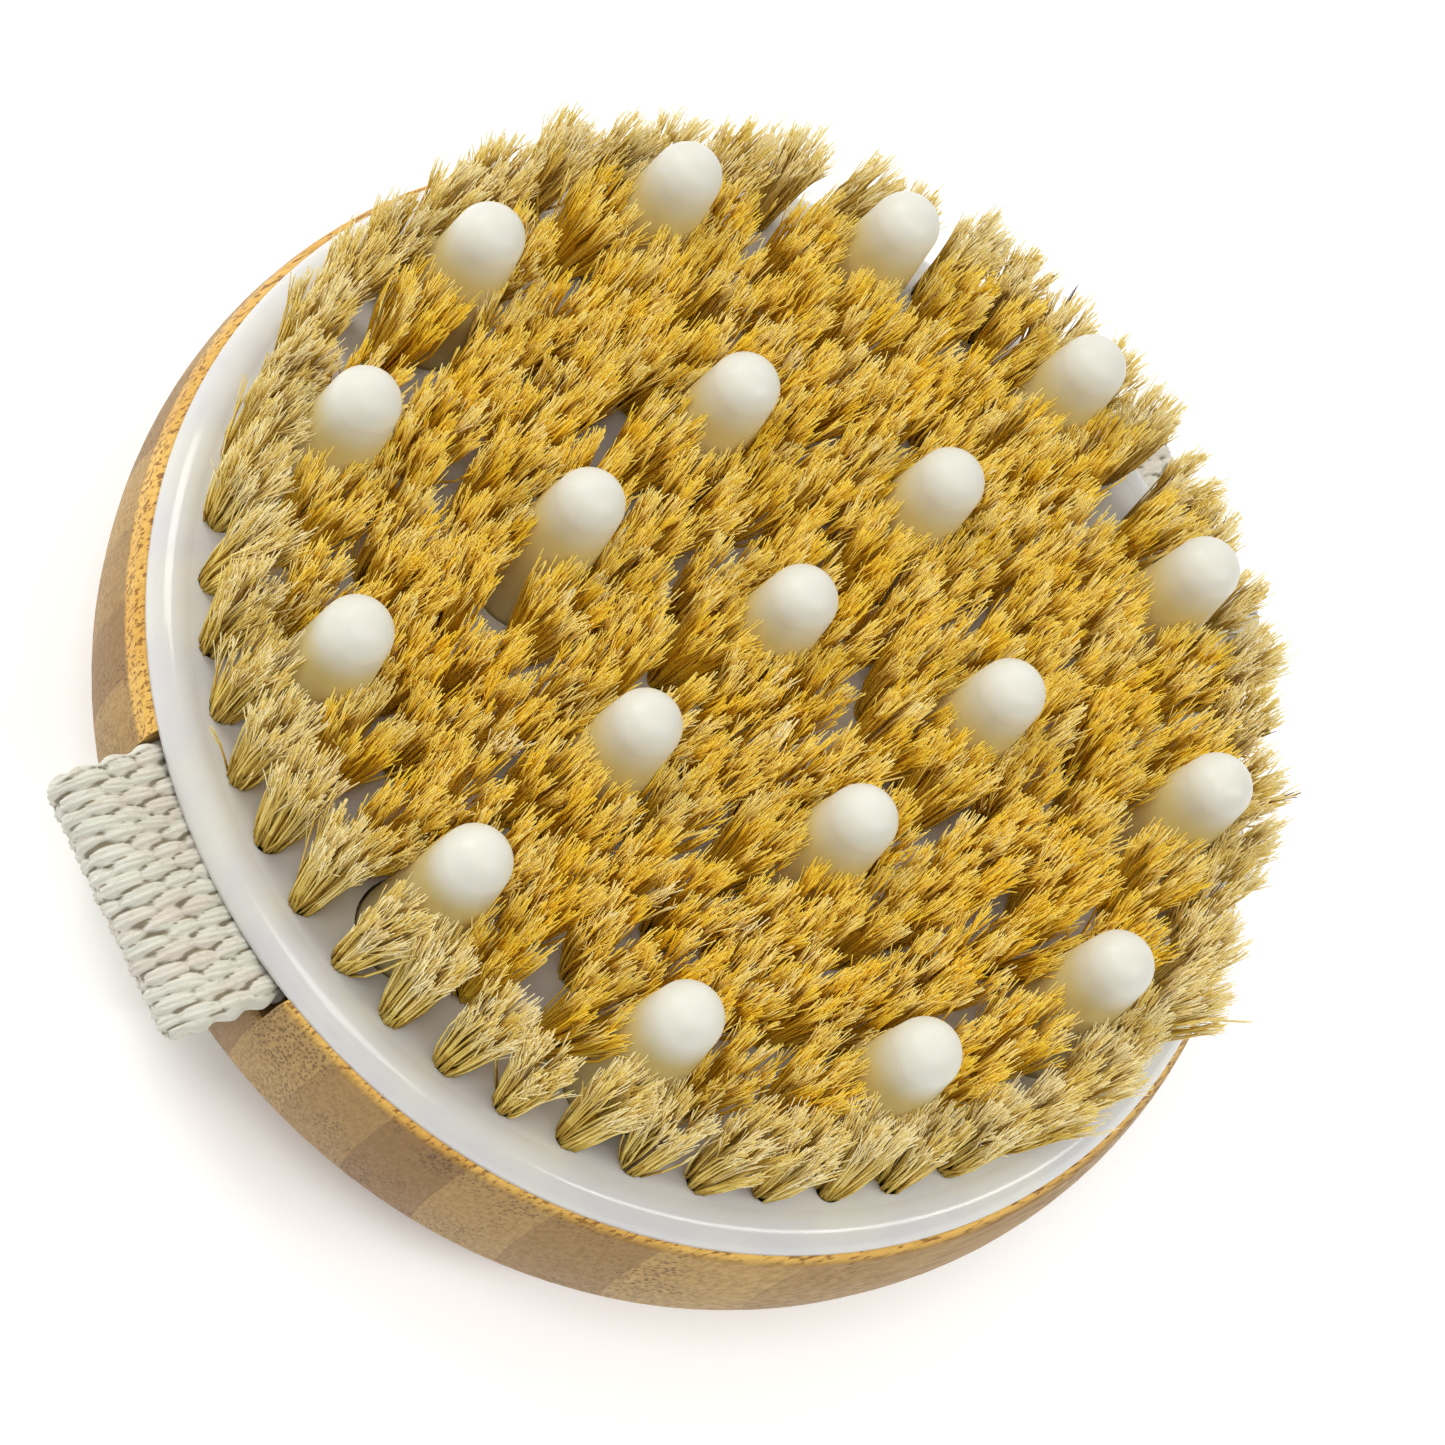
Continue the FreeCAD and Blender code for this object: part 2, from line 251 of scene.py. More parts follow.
def bamboo_material():
    """Glued bamboo strips: fibre bundles run along X, so they show as specks on the ends of the
    strips and as fine lines along them. The sawn front face is more golden than the sanded side.
    On the -X, +Y side, which faces the light, the golden band runs further down the rounded edge:
    that part is a painted golden glow."""
    n = Nodes("bamboo_strips")
    place = n.place()
    x, y, z = n.split(place)
    wander = n.math("MULTIPLY", n.math("SUBTRACT", n.noise(place, 25.0, 1.0), 0.5), 0.5 * MM)
    strip = n.math("DIVIDE", n.math("ADD", y, wander), STRIP_W)
    number = n.math("FLOOR", strip)
    tone_a = n.math("FRACT", n.math("MULTIPLY", number, 0.618))      # next strips always differ
    tone_b = n.math("FRACT", n.math("MULTIPLY", number, 0.414))

    bundle = n.add("TexVoronoi", feature="F1")
    n.join(n.stretched(place, 90.0, 2700.0, 2100.0), bundle.inputs["Vector"])
    bundle.inputs["Scale"].default_value = 1.0
    speck_size = n.math("MULTIPLY_ADD", tone_b, 0.20, 0.16)
    speck = n.ramp(bundle.outputs["Distance"], n.math("ADD", speck_size, 0.16), speck_size)
    patch = n.ramp(n.noise(n.stretched(place, 40.0, 160.0, 110.0), 1.0, 2.0), 0.40, 0.62)
    speck = n.math("MULTIPLY", speck, patch)

    grain = n.noise(n.stretched(place, 60.0, 2600.0, 1500.0), 1.0, 5.0, 0.65)
    cloud = n.noise(n.stretched(place, 35.0, 120.0, 70.0), 1.0, 3.0)

    side = n.mix(tone_a, srgb(192, 158, 94), srgb(136, 102, 58))
    side = n.mix(n.math("MULTIPLY", cloud, 0.35), side, srgb(166, 130, 80))
    side = n.mix(n.ramp(grain, 0.35, 0.68, 0.0, 0.45), side, srgb(122, 90, 56))
    side = n.mix(n.math("MULTIPLY", speck, 0.62), side, srgb(84, 58, 34))

    front = n.mix(tone_a, srgb(234, 190, 100), srgb(220, 170, 80))
    front = n.mix(n.ramp(grain, 0.42, 0.72, 0.0, 0.5), front, srgb(178, 124, 46))
    dash = n.noise(n.stretched(place, 420.0, 2300.0, 2300.0), 1.0, 2.0, 0.5)
    front = n.mix(n.ramp(dash, 0.53, 0.61, 0.0, 0.85), front, srgb(136, 88, 34))
    normal = n.split(n.add("NewGeometry").outputs["Normal"])
    # painted light: the golden band reaches further down the side toward -X, +Y, where the light
    # falls
    corner = n.math("DIVIDE", n.math("SUBTRACT", y, x), DISC_R * math.sqrt(2))
    golden_reach_with_glow = n.ramp(corner, 0.5, 0.95, FRONT_Z - 0.3 * MM, FRONT_Z - 2.4 * MM)
    above = n.math("SUBTRACT", z, n.math("ADD", golden_reach_with_glow, n.math("MULTIPLY", wander, 1.5)))
    faces_front = n.ramp(normal[2], -0.3, 0.05)
    front_and_painted_glow = n.math("MULTIPLY", faces_front, n.ramp(above, -0.5 * MM, 0.3 * MM))
    colour = n.mix(front_and_painted_glow, side, front)

    within = n.math("FRACT", strip)
    from_seam = n.math("MINIMUM", within, n.math("SUBTRACT", 1.0, within))
    seam = n.ramp(from_seam, 0.018, 0.0)
    colour = n.mix(n.math("MULTIPLY", seam, 0.15), colour, srgb(112, 76, 46))
    n.join(colour, n.shader.inputs["Base Color"])

    relief = n.math("ADD", n.math("MULTIPLY", grain, 0.5), n.math("MULTIPLY", speck, -0.8))
    relief = n.math("SUBTRACT", relief, n.math("MULTIPLY", seam, 0.4))
    n.join(n.bump(relief, 0.55, 0.12 * MM), n.shader.inputs["Normal"])
    n.join(n.ramp(grain, 0.3, 0.7, 0.42, 0.60), n.shader.inputs["Roughness"])
    n.set(specular_ior_level=0.3)
    return n.material


def plate_material():
    """Milky moulded polypropylene: glossy, with a faint orange peel and flow marks."""
    n = Nodes("milky_plastic")
    place = n.place()
    flow = n.noise(place, 90.0, 2.0)
    colour = n.mix(n.ramp(flow, 0.35, 0.65), srgb(210, 209, 208), srgb(217, 216, 208))
    n.join(colour, n.shader.inputs["Base Color"])
    peel = n.noise(place, 420.0, 2.0)
    n.join(n.bump(peel, 0.16, 0.12 * MM), n.shader.inputs["Normal"])
    n.join(n.ramp(n.noise(place, 160.0, 3.0), 0.3, 0.7, 0.12, 0.19), n.shader.inputs["Roughness"])
    n.set(subsurface_weight=0.3, subsurface_scale=1.4 * MM, specular_ior_level=0.4)
    n.shader.inputs["Subsurface Radius"].default_value = (1.0, 0.95, 0.85)
    return n.material


def nodule_material():
    """Soft translucent elastomer with a satin skin. Its stem is painted a darker amber toward the
    foot, as painted light and shade from the bristles round it.
    """
    n = Nodes("soft_nodule")
    place = n.place()
    cloud = n.noise(place, 130.0, 3.0)
    colour = n.mix(n.ramp(cloud, 0.3, 0.7), srgb(214, 213, 201), srgb(220, 219, 208))
    top_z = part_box(NODULES[0])[1].z
    # painted bounce light and shade: the stem takes the bristles' amber, darker toward the foot
    stem = n.ramp(n.split(place)[2], top_z - 3.2 * MM, top_z - 8.0 * MM)
    colour = n.mix(stem, colour, srgb(208, 194, 140))
    n.join(colour, n.shader.inputs["Base Color"])
    skin = n.noise(place, 1500.0, 3.0, 0.6)
    n.join(n.bump(skin, 0.12, 0.05 * MM), n.shader.inputs["Normal"])
    n.join(n.ramp(n.noise(place, 300.0, 3.0), 0.3, 0.7, 0.36, 0.5), n.shader.inputs["Roughness"])
    n.set(subsurface_weight=0.6, subsurface_scale=2.4 * MM)
    n.shader.inputs["Subsurface Radius"].default_value = (1.0, 0.85, 0.6)
    return n.material


BRISTLE_TONES = [
    srgb(72, 44, 20),       # the rare dark hair
    srgb(206, 152, 34),
    srgb(226, 176, 38),
    srgb(240, 195, 44),
    srgb(248, 209, 54),
    srgb(250, 217, 78),
    srgb(251, 224, 116),
    srgb(252, 233, 154),
    srgb(253, 240, 196),    # pale cut ends
]
RIM_TONES = [               # the outermost ring is paler and less yellow
    srgb(176, 136, 46),
    srgb(204, 166, 66),
    srgb(224, 193, 90),
    srgb(237, 211, 116),
    srgb(244, 223, 146),
    srgb(249, 235, 184),
]


def bristle_materials():
    """One plain tone each. A hair takes a darker tone at its root and a paler one at its end; on
    the outermost ring the darker root is painted shade.
    """
    made = []
    for number, colour in enumerate(BRISTLE_TONES + RIM_TONES):
        n = Nodes(f"bristle_tone_{number}")
        n.shader.inputs["Base Color"].default_value = colour
        n.set(roughness=0.6, specular_ior_level=0.12)
        made.append(n.material)
    return made


def cotton_material():
    """Natural cotton webbing. The mesh carries painted shade for each point: how deep it lies in
    the weave, and the shadow under the floats' ends.
    """
    n = Nodes("cotton_webbing")
    painted_shade = n.add("Attribute", attribute_name="weave_painted_shade").outputs["Fac"]
    along = n.add("UVMap", uv_map="weave").outputs["UV"]
    fibre = n.noise(n.stretched(along, 900.0, 4200.0, 1.0), 1.0, 4.0, 0.65)
    yarn = n.noise(n.stretched(along, 130.0, 420.0, 1.0), 1.0, 2.0)
    other = n.noise(n.stretched(along, 170.0, 300.0, 1.0), 1.0, 1.0)
    colour = n.mix(n.ramp(yarn, 0.35, 0.65), srgb(212, 213, 197), srgb(213, 204, 190))
    colour = n.mix(n.ramp(other, 0.3, 0.7, 0.0, 0.6), colour, srgb(225, 223, 211))
    colour = n.mix(n.ramp(fibre, 0.48, 0.72, 0.0, 0.6), colour, srgb(186, 177, 150))
    # painted shade: darker where the weave lies deep and in the shadow under each float's end
    colour = n.mix(n.ramp(painted_shade, 0.40, 0.8, 0.0, 0.9), colour, srgb(126, 115, 88))
    n.join(colour, n.shader.inputs["Base Color"])
    n.join(n.bump(fibre, 0.9, 0.20 * MM), n.shader.inputs["Normal"])
    n.set(roughness=0.92, sheen_weight=0.25, sheen_roughness=0.5, specular_ior_level=0.2)
    return n.material


def metal_material():
    n = Nodes("staple_wire")
    place = n.place()
    drawn = n.noise(n.stretched(place, 3000.0, 3000.0, 200.0), 1.0, 3.0)
    n.join(n.mix(drawn, srgb(176, 177, 178), srgb(206, 207, 208)), n.shader.inputs["Base Color"])
    n.join(n.ramp(drawn, 0.3, 0.7, 0.28, 0.45), n.shader.inputs["Roughness"])
    n.set(metallic=1.0)
    return n.material


def glue_material():
    n = Nodes("cured_glue")
    place = n.place()
    blobs = n.noise(place, 400.0, 3.0)
    n.join(n.mix(blobs, srgb(206, 188, 140), srgb(226, 212, 170)), n.shader.inputs["Base Color"])
    n.join(n.bump(blobs, 0.4, 0.3 * MM), n.shader.inputs["Normal"])
    n.set(roughness=0.4)
    return n.material


def floor_material():
    """Near white, with a little light of its own so that it stays white away from the brush."""
    n = Nodes("floor")
    place = n.place()
    colour = n.mix(n.noise(place, 6.0), srgb(248, 248, 248), srgb(251, 251, 251))
    n.join(colour, n.shader.inputs["Base Color"])
    n.set(roughness=0.8, specular_ior_level=0.2)
    n.set(emission_color=(1.0, 1.0, 1.0, 1.0), emission_strength=0.20)
    return n.material


def give(node_names, material):
    """Sets a material on CAD nodes that stay."""
    for name in node_names:
        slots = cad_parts[name].material_slots
        for slot in slots:
            slot.link = "OBJECT"
            slot.material = material


# ---- meshes from arrays -------------------------------------------------------------------------
def mesh_object(name, points, loops, sizes, material_numbers=None, smooth=True):
    """An object from vertex positions, face corners in one flat array and the corners per face."""
    mesh = bpy.data.meshes.new(name)
    mesh.vertices.add(len(points))
    mesh.vertices.foreach_set("co", np.asarray(points, np.float32).ravel())
    mesh.loops.add(len(loops))
    mesh.loops.foreach_set("vertex_index", np.asarray(loops, np.int32))
    mesh.polygons.add(len(sizes))
    starts = np.concatenate([[0], np.cumsum(sizes)[:-1]]).astype(np.int32)
    mesh.polygons.foreach_set("loop_start", starts)
    if material_numbers is not None:
        mesh.polygons.foreach_set("material_index", np.asarray(material_numbers, np.int32))
    mesh.polygons.foreach_set("use_smooth", np.full(len(sizes), smooth))
    mesh.update(calc_edges=True)
    mesh.validate()
    made = bpy.data.objects.new(name, mesh)
    bpy.context.scene.collection.objects.link(made)
    return made


def islands(node_name):
    """Middle of each separate solid of a CAD node, as an array of X and Y."""
    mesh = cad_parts[node_name].data
    points = np.array([v.co for v in mesh.vertices])
    keys = {}
    same = np.empty(len(points), int)
    for i, p in enumerate(np.round(points / (0.002 * MM)).astype(int)):
        same[i] = keys.setdefault(tuple(p), i)
    parent = np.arange(len(points))

    def top(i):
        while parent[i] != i:
            parent[i] = parent[parent[i]]
            i = parent[i]
        return i

    for edge in mesh.edges:
        a, b = top(same[edge.vertices[0]]), top(same[edge.vertices[1]])
        if a != b:
            parent[b] = a
    groups = {}
    for i in range(len(points)):
        groups.setdefault(top(same[i]), []).append(i)
    middles = []
    for members in groups.values():
        box = points[members]
        middles.append((box.min(axis=0) + box.max(axis=0))[:2] / 2)
    return np.array(sorted(middles, key=lambda m: math.atan2(m[1], m[0])))


# ---- bristles -----------------------------------------------------------------------------------
HAIRS = 128                 # in one tuft
HAIR_R = 0.125 * MM         # half the thickness of a hair at its root
HOLE_R = 1.48 * MM          # the roots fill a tuft's hole
SPREAD_R = 4.8 * MM         # how far the ends spread round the tuft's middle
LOCKS = 15                  # small pointed bunches that a tuft's ends gather in
RIM_SPREAD_R = 3.9 * MM     # the same for the outermost ring
HAIR_STEPS = np.array([0.0, 0.3, 0.66, 1.0])
FLAG_STEPS = np.array([0.0, 0.5, 1.0])
FLAGS = 2                   # split ends of each hair
SHAFT_TAPER = np.array([1.4, 1.3, 0.95, 0.4])     # thickness at HAIR_STEPS, in hair radii
FLAG_TAPER = np.array([0.7, 0.62, 0.42])          # the same at FLAG_STEPS
GATHER = (0.3, 0.72)        # least and most that a hair's end is drawn to its lock
RIM_GATHER = (0.3, 0.75)
BEND = 1.45                 # above 1 a hair fans out near its root, below 1 near its end
RIM_BEND = 0.85
TONE_ZONES = np.array([0.0, 0.2, 0.9])            # tones paler than a hair's own, root to end
# on the outermost ring the root's -0.9 is painted shade where the tufts' roots lie in shade
RIM_TONE_ZONES = np.array([-0.9, 0.4, 1.2])
HAIR_SIDES = 3
CORE_SIDES = 9
CORE_HEIGHTS = np.array([-0.6, 1.0, 3.5, 6.5]) * MM
CORE_WIDTHS = np.array([0.95, 1.00, 1.10, 0.4]) * MM
ARC_TUFTS = 30              # the most tufts in one piece
BRISTLE_SEED = 20
NODULE_REACH = 11.5 * MM    # tufts nearer than this to a nodule lean against it
NODULE_LEAN = 1.2 * MM
NODULE_TIP_R = 3.75 * MM
NODULE_FOOT_R = 5.42 * MM
NODULE_GAP = 0.15 * MM      # kept between a hair and a nodule


def nodule_middles():
    return np.array([[(a + b) / 2 for a, b in zip(*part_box(name))][:2] for name in NODULES])


def clear_of_nodules(points, nodules):
    """Pushes hair points out of the nodules, which are widest at the plate."""
    top_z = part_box(NODULES[0])[1].z
    round_z = top_z - NODULE_TIP_R
    share = np.clip((round_z - points[..., 2]) / (round_z - PLATE_TOP_Z), 0, 1)
    wall = NODULE_TIP_R + (NODULE_FOOT_R - NODULE_TIP_R) * share + NODULE_GAP
    for middle in nodules:
        away = points[..., :2] - middle
        distance = np.linalg.norm(away, axis=-1)
        scale = np.where(distance < wall, wall / np.maximum(distance, 1e-6), 1.0)
        points[..., :2] = middle + away * scale[..., None]
    return points


def hair_lines(centres, spread, gather, bend, random, nodules):
    """Points along every hair of some tufts, as an array of hairs by steps by XYZ, and how much
    paler or darker each hair's lock is. The hairs fan out from the tuft's hole and gather in
    locks at their ends."""
    count = len(centres)
    shape = (count, HAIRS)
    turn = random.uniform(0, 2 * np.pi, shape)
    reach = np.sqrt(random.uniform(0, 1, shape))
    heading = np.stack([np.cos(turn), np.sin(turn)], -1)
    root = heading * (reach ** 0.6 * HOLE_R)[..., None]

    lock_turn = random.uniform(0, 2 * np.pi, (count, LOCKS))
    lock_reach = np.sqrt(random.uniform(0.05, 1, (count, LOCKS)))
    lock = np.stack([np.cos(lock_turn), np.sin(lock_turn)], -1) * (lock_reach * spread)[..., None]
    own = heading * (reach * spread)[..., None]
    nearest = np.linalg.norm(own[:, :, None] - lock[:, None], axis=-1).argmin(axis=2)
    to_lock = np.take_along_axis(lock, nearest[..., None], axis=1)
    pull = random.uniform(*gather, shape)[..., None]
    tip = own * (1 - pull) + to_lock * pull
    tip += random.normal(0, 0.33 * MM, shape + (2,))
    tip += random.normal(0, 0.8 * MM, (count, 1, 2))
    to_nodule = nodules[None] - centres[:, None]
    distance = np.linalg.norm(to_nodule, axis=-1)
    nearest_one = distance.argmin(axis=1)[:, None]
    close_to = np.clip((NODULE_REACH - distance.min(axis=1, keepdims=True)) / (2 * MM), 0, 1)
    heading_in = np.take_along_axis(to_nodule, nearest_one[..., None], axis=1)[:, 0]
    heading_in /= np.linalg.norm(heading_in, axis=1, keepdims=True)
    tip += (heading_in * close_to * NODULE_LEAN)[:, None]
    lock_tone = np.take_along_axis(random.normal(0, 0.55, (count, LOCKS)), nearest, axis=1)
    stray = random.uniform(0, 1, shape) < 0.03
    tip += stray[..., None] * random.normal(0, 1.8 * MM, shape + (2,))

    crown = 1.0 - 0.07 * np.clip(np.linalg.norm(tip, axis=-1) / spread, 0, 1.6) ** 2
    length = (TUFT_TOP_Z - PLATE_TOP_Z) * crown + random.normal(0.1 * MM, 0.5 * MM, shape)
    length -= np.abs(random.normal(0, 1.0 * MM, shape))
    shorter = np.abs(random.normal(0, 0.7 * MM, (count, LOCKS)))
    length -= np.take_along_axis(shorter, nearest, axis=1)
    bow = random.normal(0, 0.35 * MM, shape + (2,))

    t = HAIR_STEPS
    run = (1 - (1 - t) ** bend)[:, None]
    arch = (4 * t * (1 - t))[:, None]
    flat = root[:, :, None] * (1 - run) + tip[:, :, None] * run + bow[:, :, None] * arch
    flat += centres[:, None, None]
    sunk = 0.7 * MM
    rise = PLATE_TOP_Z - sunk + (length[..., None] + sunk) * t
    lines = np.concatenate([flat, rise[..., None]], -1).reshape(-1, len(t), 3)
    return clear_of_nodules(lines, nodules), lock_tone.ravel()


def flag_lines(lines, random, nodules):
    """The split ends: finer hairs that leave each hair above its middle."""
    lines = np.repeat(lines, FLAGS, axis=0)
    hairs = len(lines)
    leaves = random.uniform(-0.4, 0.4, (hairs, 1))
    below, above = lines[:, 2] - lines[:, 1], lines[:, 3] - lines[:, 2]
    start = lines[:, 2] + np.where(leaves < 0, below, above) * leaves
    end = lines[:, 3] + random.normal(0, 1.0, (hairs, 3)) * np.array([0.40, 0.40, 0.50]) * MM
    t = FLAG_STEPS[:, None]
    bow = random.normal(0, 0.06 * MM, (hairs, 1, 3)) * (4 * t * (1 - t))
    flags = start[:, None] * (1 - t) + end[:, None] * t + bow
    flags[..., 2] = np.minimum(flags[..., 2], TUFT_TOP_Z + 0.9 * MM)
    return clear_of_nodules(flags, nodules)


def tubes(lines, thick, random, corners=HAIR_SIDES):
    """Points, face corners and face sizes of a thin closed tube along each line."""
    count, steps = lines.shape[:2]
    along = np.gradient(lines, axis=1)
    along /= np.linalg.norm(along, axis=-1, keepdims=True)
    aside = np.cross(along, np.array([0.0, 1.0, 0.0]))
    aside /= np.linalg.norm(aside, axis=-1, keepdims=True)
    across = np.cross(along, aside)
    spin = random.uniform(0, 2 * np.pi, (count, 1, 1)) + np.arange(corners) * 2 * np.pi / corners
    ring = aside[:, :, None] * np.cos(spin)[..., None]
    ring = ring + across[:, :, None] * np.sin(spin)[..., None]
    points = lines[:, :, None] + ring * thick[:, :, None, None]
    base = np.arange(count)[:, None, None] * steps * corners
    step = np.arange(steps - 1)[None, :, None] * corners
    corner = np.arange(corners)[None, None, :]
    a, b = base + step + corner, base + step + (corner + 1) % corners
    quads = np.stack([a, b, b + corners, a + corners], -1).reshape(-1)
    first = (np.arange(count) * steps * corners)[:, None]
    bottoms = (first + np.arange(corners)[::-1]).reshape(-1)
    tops = (first + (steps - 1) * corners + np.arange(corners)).reshape(-1)
    sizes = np.concatenate([np.full(count * (steps - 1) * corners, 4), np.full(2 * count, corners)])
    return points.reshape(-1, 3), np.concatenate([quads, bottoms, tops]), sizes


def cores(centres):
    """The densely packed middle of each tuft, where no hair can be told apart."""
    shape = (len(centres), len(CORE_HEIGHTS))
    lines = np.concatenate([
        np.repeat(centres[:, None], shape[1], axis=1),
        np.broadcast_to(PLATE_TOP_Z + CORE_HEIGHTS, shape)[..., None]], -1)
    return lines, np.broadcast_to(CORE_WIDTHS, shape)


def tube_tones(tones, corners=HAIR_SIDES):
    """A tone for each face of the tubes, from one for each length between two steps."""
    return np.concatenate([np.repeat(tones.reshape(-1), corners), tones[:, 0], tones[:, -1]])


def bristle_piece(name, node_name, centres, random, nodules, materials):
    """All hairs of some tufts of a ring in one mesh, in place of the CAD's solid tufts."""
    at_rim = node_name == TUFT_RINGS[-1]
    spread = RIM_SPREAD_R if at_rim else SPREAD_R
    gather = RIM_GATHER if at_rim else GATHER
    bend = RIM_BEND if at_rim else BEND
    lines, lock_tone = hair_lines(centres, spread, gather, bend, random, nodules)
    flags = flag_lines(lines, random, nodules)
    hairs = len(lines)
    thick = HAIR_R * random.uniform(0.75, 1.2, (hairs, 1))
    shafts = tubes(lines, thick * SHAFT_TAPER, random)
    splits = tubes(flags, np.repeat(thick, FLAGS, axis=0) * FLAG_TAPER, random)

    first = len(BRISTLE_TONES) if at_rim else 1
    last = len(BRISTLE_TONES) + (len(RIM_TONES) - 1 if at_rim else -1)
    middle = (first + last) / 2 + lock_tone + random.normal(0, 0.2, hairs)
    middle -= 0.0 if at_rim else 0.3
    zones = RIM_TONE_ZONES if at_rim else TONE_ZONES
    tones = np.rint(middle[:, None] + zones + random.normal(0, 0.15, (hairs, 3)))
    tones = np.clip(tones, first, last)
    dark = random.uniform(0, 1, hairs) < 0.003
    tones[dark] = 0
    ends = np.clip(np.repeat(tones[:, 2:], FLAGS, axis=0) + np.array([0, 1]), first, last)
    ends[np.repeat(dark, FLAGS)] = 0

    packed = tubes(*cores(centres), random, corners=CORE_SIDES)
    # the outermost ring's cores take its darkest tone, painted shade at the roots
    core_tones = np.full((len(centres), 3), first if at_rim else first + 1)

    parts = [shafts, splits, packed]
    starts = np.cumsum([0] + [len(points) for points, _, _ in parts])
    made = mesh_object(
        name,
        np.concatenate([points for points, _, _ in parts]),
        np.concatenate([loops + start for (_, loops, _), start in zip(parts, starts)]),
        np.concatenate([sizes for _, _, sizes in parts]),
        np.concatenate([tube_tones(tones), tube_tones(ends), tube_tones(core_tones, CORE_SIDES)]))
    for material in materials:
        made.data.materials.append(material)
    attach(made, "brush")
    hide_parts(node_name)


def make_bristles():
    random = np.random.default_rng(BRISTLE_SEED)
    materials = bristle_materials()
    nodules = nodule_middles()
    for node_name in TUFT_RINGS:
        centres = islands(node_name)
        arcs = np.array_split(centres, math.ceil(len(centres) / ARC_TUFTS))
        for number, arc in enumerate(arcs):
            letter = "abc"[number] if len(arcs) > 1 else ""
            name = "bristles_" + node_name.split("_")[-1] + letter
            bristle_piece(name, node_name, arc, random, nodules, materials)


# ---- hand strap ---------------------------------------------------------------------------------
STRAP_W = 29.0 * MM
STRAP_T = 3.0 * MM
ROWS = 17                    # warp yarns side by side
FLOAT_L = 3.5 * MM           # length of the yarn that shows between two dips
LUMP = 0.75 * MM             # height of a yarn's bulge
ALONG_STEP = 0.31 * MM
ACROSS_STEP = 0.205 * MM
INSET = 0.7 * MM             # radius of the webbing's rounded edges
EDGE_WAVE = 0.28 * MM        # how far the edges wave in and out with each float
SKEW = 0.23                  # the limp loop lies this much askew below the front
SKEW_X = 55.0 * MM           # fully so outside this distance from the middle
NEAR_FOLD_PAST = 0.27 * MM   # the -X fold's corner, before rounding, is this far past the CAD box
FAR_FOLD_X = 70.0 * MM       # the +X fold's corner, before rounding
STRAP_SEED = 7


def strap_line(side):
    """The strap's middle line from the centre of the back to its end in a notch, as points in X
    and Z a fixed step apart, drawn for the +X side. The fold stands out further on the -X side."""
    lying = STRAP_T / 2
    tail_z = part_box("bristle_plate")[0].z - 0.1 * MM - STRAP_T / 2
    top_z = FRONT_Z - 0.2 * MM - STRAP_T / 2
    fold_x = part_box("hand_strap")[1].x + NEAR_FOLD_PAST if side < 0 else FAR_FOLD_X
    corners = [                  # X, Z and the radius of the turn
        (0.0, lying, 0.0),
        (50.0 * MM, lying, 12.0 * MM),
        (60.7 * MM, 6.9 * MM, 6.0 * MM),
        (66.0 * MM, 14.0 * MM, 6.0 * MM),
        (67.0 * MM, 21.0 * MM, 6.0 * MM),
        (fold_x, top_z, 2.0 * MM),
        (62.7 * MM, top_z, 2.2 * MM),
        (59.5 * MM, tail_z, 2.0 * MM),
        (56.5 * MM, tail_z, 0.0),
    ]
    points = [Vector((x, z)) for x, z, _ in corners]
    route = [points[0]]
    for before, point, after, (_, _, radius) in zip(points, points[1:], points[2:], corners[1:]):
        came, goes = (point - before).normalized(), (after - point).normalized()
        half = came.angle(goes) / 2
        centre = point + (goes - came).normalized() * (radius / math.cos(half))
        start = point - came * radius * math.tan(half) - centre
        turn = came.angle_signed(goes)
        pieces = max(4, int(radius * abs(turn) / (0.2 * MM)))
        for k in range(pieces + 1):
            spun = start.copy()
            spun.rotate(Matrix.Rotation(-turn * k / pieces, 2))
            route.append(centre + spun)
    route.append(points[-1])
    route = np.array(route)
    run = np.concatenate([[0], np.cumsum(np.linalg.norm(np.diff(route, axis=0), axis=1))])
    count = int(run[-1] / ALONG_STEP) + 1
    at = np.linspace(0, run[-1], count)
    return at, np.stack([np.interp(at, run, route[:, 0]), np.interp(at, run, route[:, 1])], -1)


def hashed(a, b, salt):
    """A repeatable value from 0 to 1 for each pair of whole numbers."""
    value = np.sin(a * 12.9898 + b * 78.233 + salt * 37.719) * 43758.5453
    return value - np.floor(value)


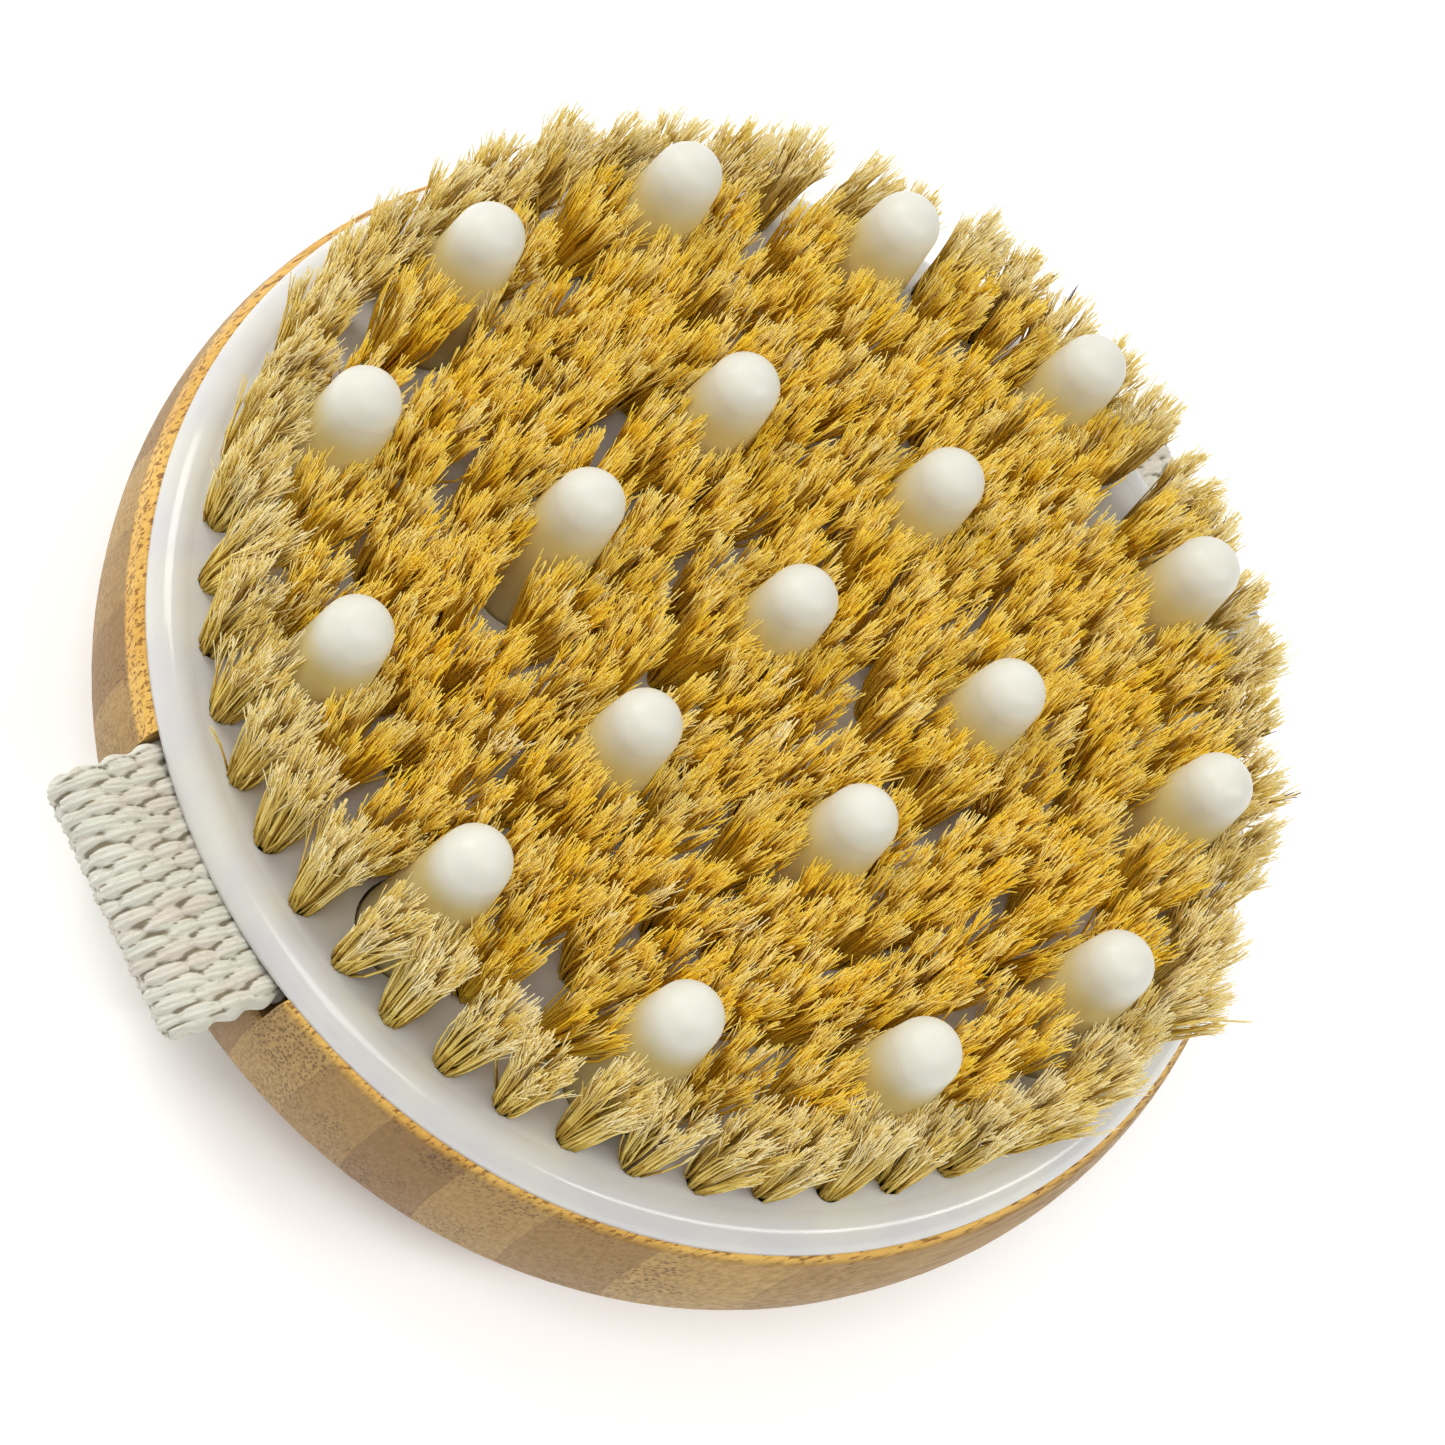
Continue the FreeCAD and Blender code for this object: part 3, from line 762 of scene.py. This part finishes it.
def weave(at, across, rows, phase):
    """Height of the woven face and its painted shade, both 0 to 1, at distances along the strap and
    across it: warp floats like long grains, a little askew, each row half a float on from the next.
    The shade is painted shade, darker where the face lies low, with a painted shadow under the
    lower edge of each float near its end."""
    slow = np.sin(at / (3.1 * MM) + across / (4.3 * MM))
    quick = np.sin(at / (1.7 * MM) - across / (2.9 * MM))
    drift = 0.6 * slow + 0.4 * quick
    row = (across / STRAP_W + 0.5) * ROWS + 0.14 * drift
    turn = at / FLOAT_L + phase + 0.07 * drift
    height = np.zeros(np.broadcast(row, turn).shape)
    shade = np.zeros(height.shape)
    for aside in (-1, 0, 1):
        number = np.floor(row) + aside
        here = turn + rows[number.astype(int) % ROWS] + 0.5 * (number % 2)
        for step in (-1, 0, 1):
            float_number = np.floor(here) + step
            part = here - float_number - 0.5
            own = hashed(number, float_number, phase)
            lean = 1.3 * (hashed(number, float_number, phase + 3.0) - 0.5)
            within = row - number - 0.5 + (0.10 + 0.25 * lean) * part + 0.14 * lean
            inside = 1 - (part / (0.57 + 0.05 * own)) ** 2 - (within / 0.64) ** 2
            twist = within * (2.0 + own) + part * (1.4 * own - 0.3) + own
            strands = 0.12 * np.cos(2 * np.pi * twist)
            grain = np.sqrt(np.clip(inside, 0, 1))
            rise = grain * (0.86 + 0.24 * own) + strands * np.clip(3 * inside, 0, 1)
            # painted shadow: a dark dash under the lower edge of each float, near its end
            under = np.clip((-within - 0.30) / 0.14, 0, 1) * np.clip((part + 0.12) / 0.25, 0, 1)
            shade = np.where(rise > height, under, shade)
            height = np.maximum(height, rise)
    return height, np.clip(1 - height + 0.55 * shade, 0, 1)


def strap_half(side, material):
    """Half of the webbing, from the middle of the back to its end in the notch on one side."""
    random = np.random.default_rng(STRAP_SEED)
    rows = random.uniform(-0.12, 0.12, ROWS)
    at, line = strap_line(side)
    along = np.gradient(line, axis=0)
    along /= np.linalg.norm(along, axis=1, keepdims=True)
    outward = np.stack([along[:, 1], -along[:, 0]], -1)

    half_w = STRAP_W / 2
    faces = int(STRAP_W / ACROSS_STEP)
    over = np.linspace(-half_w, half_w, faces)
    edge_turns = np.linspace(0, np.pi, 8)[1:-1]
    core = STRAP_T / 2 - 0.25 * LUMP
    ends = np.clip((at[-1] - at) / (5 * MM), 0.25, 1.0)[:, None]

    flat_y = over * (1 - INSET / half_w)
    face, face_shade = weave(at[:, None], over[None], rows, 0.0)
    back, back_shade = weave(at[:, None], over[None], rows, 0.5)
    outer = core + LUMP * (face - 0.6) * ends
    inner = core + LUMP * (back - 0.6) * ends
    wavy = EDGE_WAVE * np.sin(2 * np.pi * at / FLOAT_L)[:, None]
    edge_y = half_w - INSET + np.sin(edge_turns)[None] * INSET + wavy * np.sin(edge_turns)[None]
    edge_h = np.cos(edge_turns)[None] * core * np.ones_like(wavy)
    heights = np.concatenate([outer, edge_h, -inner[:, ::-1], -edge_h], 1)
    sideways = np.concatenate([
        np.broadcast_to(flat_y, outer.shape), edge_y,
        np.broadcast_to(flat_y[::-1], inner.shape), -edge_y], 1)
    edge_shade = np.full(edge_h.shape, 0.4)
    painted_shade = np.concatenate([face_shade, edge_shade, back_shade[:, ::-1], edge_shade], 1)

    x = line[:, :1] + outward[:, :1] * heights
    z = np.maximum(line[:, 1:] + outward[:, 1:] * heights, 0.0)     # flattened where it lies
    below_front = line[:, 1].max() - line[:, 1:]
    slipped = SKEW * below_front * np.clip(line[:, :1] / SKEW_X, 0, 1)
    points = np.stack([x * side, sideways - side * slipped, z], -1)
    count, loop = heights.shape
    i = np.arange(count - 1)[:, None] * loop
    j = np.arange(loop)[None]
    k = (j + 1) % loop
    quads = np.stack([i + j, i + k, i + loop + k, i + loop + j], -1)
    if side < 0:
        quads = quads[..., ::-1]
    last_loop = (count - 1) * loop + np.arange(loop)
    caps = np.concatenate([np.arange(loop)[::-side], last_loop[::side]])
    loops = np.concatenate([quads.reshape(-1), caps])
    sizes = np.concatenate([np.full((count - 1) * loop, 4), [loop, loop]])
    name = "strap_left" if side < 0 else "strap_right"
    made = mesh_object(name, points.reshape(-1, 3), loops, sizes)
    made.data.materials.append(material)

    spot = made.data.attributes.new("weave_painted_shade", "FLOAT", "POINT")
    spot.data.foreach_set("value", painted_shade.ravel().astype(np.float32))
    uv = made.data.uv_layers.new(name="weave")
    run = np.broadcast_to(at[:, None] * side, heights.shape)
    place = np.stack([run, sideways + heights], -1).reshape(-1, 2)
    corner_points = np.empty(len(made.data.loops), np.int32)
    made.data.loops.foreach_get("vertex_index", corner_points)
    uv.data.foreach_set("uv", place[corner_points].ravel().astype(np.float32))

    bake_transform(made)
    return made


def make_strap():
    material = cotton_material()
    left = strap_half(-1, material)
    strap_half(+1, material)
    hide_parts("hand_strap")


# ---- floor --------------------------------------------------------------------------------------
def make_floor():
    """The brush lies on its strap, so the floor stays under the strap when the strap is pulled."""
    half = 3.0
    points = [(-half, -half, 0), (half, -half, 0), (half, half, 0), (-half, half, 0)]
    floor = mesh_object("floor", points, [0, 1, 2, 3], [4], smooth=False)
    floor.data.materials.append(floor_material())
    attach(floor, "strap")


make_camera()
make_lights()
make_world()
make_floor()
make_strap()
make_bristles()
give(["bamboo_body"], bamboo_material())
give(["bristle_plate"], plate_material())
give(NODULES, nodule_material())
give([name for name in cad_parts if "staples" in name or "anchor" in name], metal_material())
give(["glue_bead"], glue_material())
bpy.context.scene.view_settings.view_transform = "Standard"
bpy.context.scene.cycles.diffuse_bounces = 8      # light goes deep between the pale hairs
